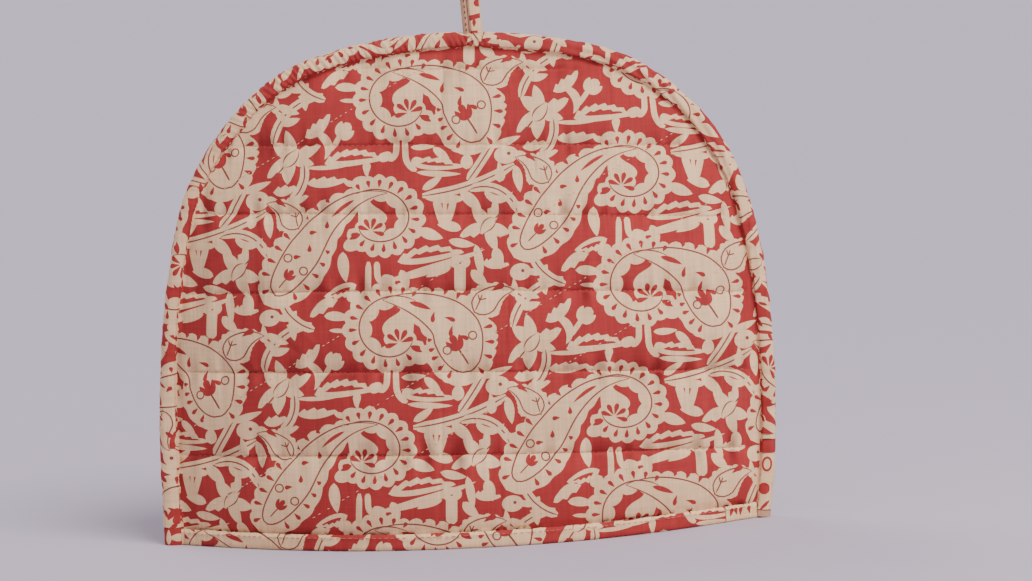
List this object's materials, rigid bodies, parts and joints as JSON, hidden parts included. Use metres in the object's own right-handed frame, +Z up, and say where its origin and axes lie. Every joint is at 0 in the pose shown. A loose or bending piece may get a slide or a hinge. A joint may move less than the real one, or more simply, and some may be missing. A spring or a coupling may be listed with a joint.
{
  "type": "quilted tea cosy",
  "caption": "Dome-shaped quilted cotton cosy that stands open on its bound hem, hollow below, with a rolled edge binding and a hanging loop at the top.",
  "frame": {"origin": "on the surface the cosy stands on, under the middle of its outline", "axes": "+Z up through the hanging loop, +X across the dome to the right as seen from the front, +Y from the front panel to the back panel"},
  "size_m": [0.3304, 0.1158, 0.3146],
  "materials": {
    "panel_cotton": "matt printed plain-weave cotton, red paisley ground on cream, quilted over wadding",
    "binding_cotton": "matt printed plain-weave cotton strip, cream and red"
  },
  "bodies": {
    "root": {"front_panel": "panel_cotton", "back_panel": "panel_cotton", "hem_binding_front": "binding_cotton", "hem_binding_back": "binding_cotton", "edge_binding": "binding_cotton", "hanging_loop": "binding_cotton"}
  },
  "joints": []
}
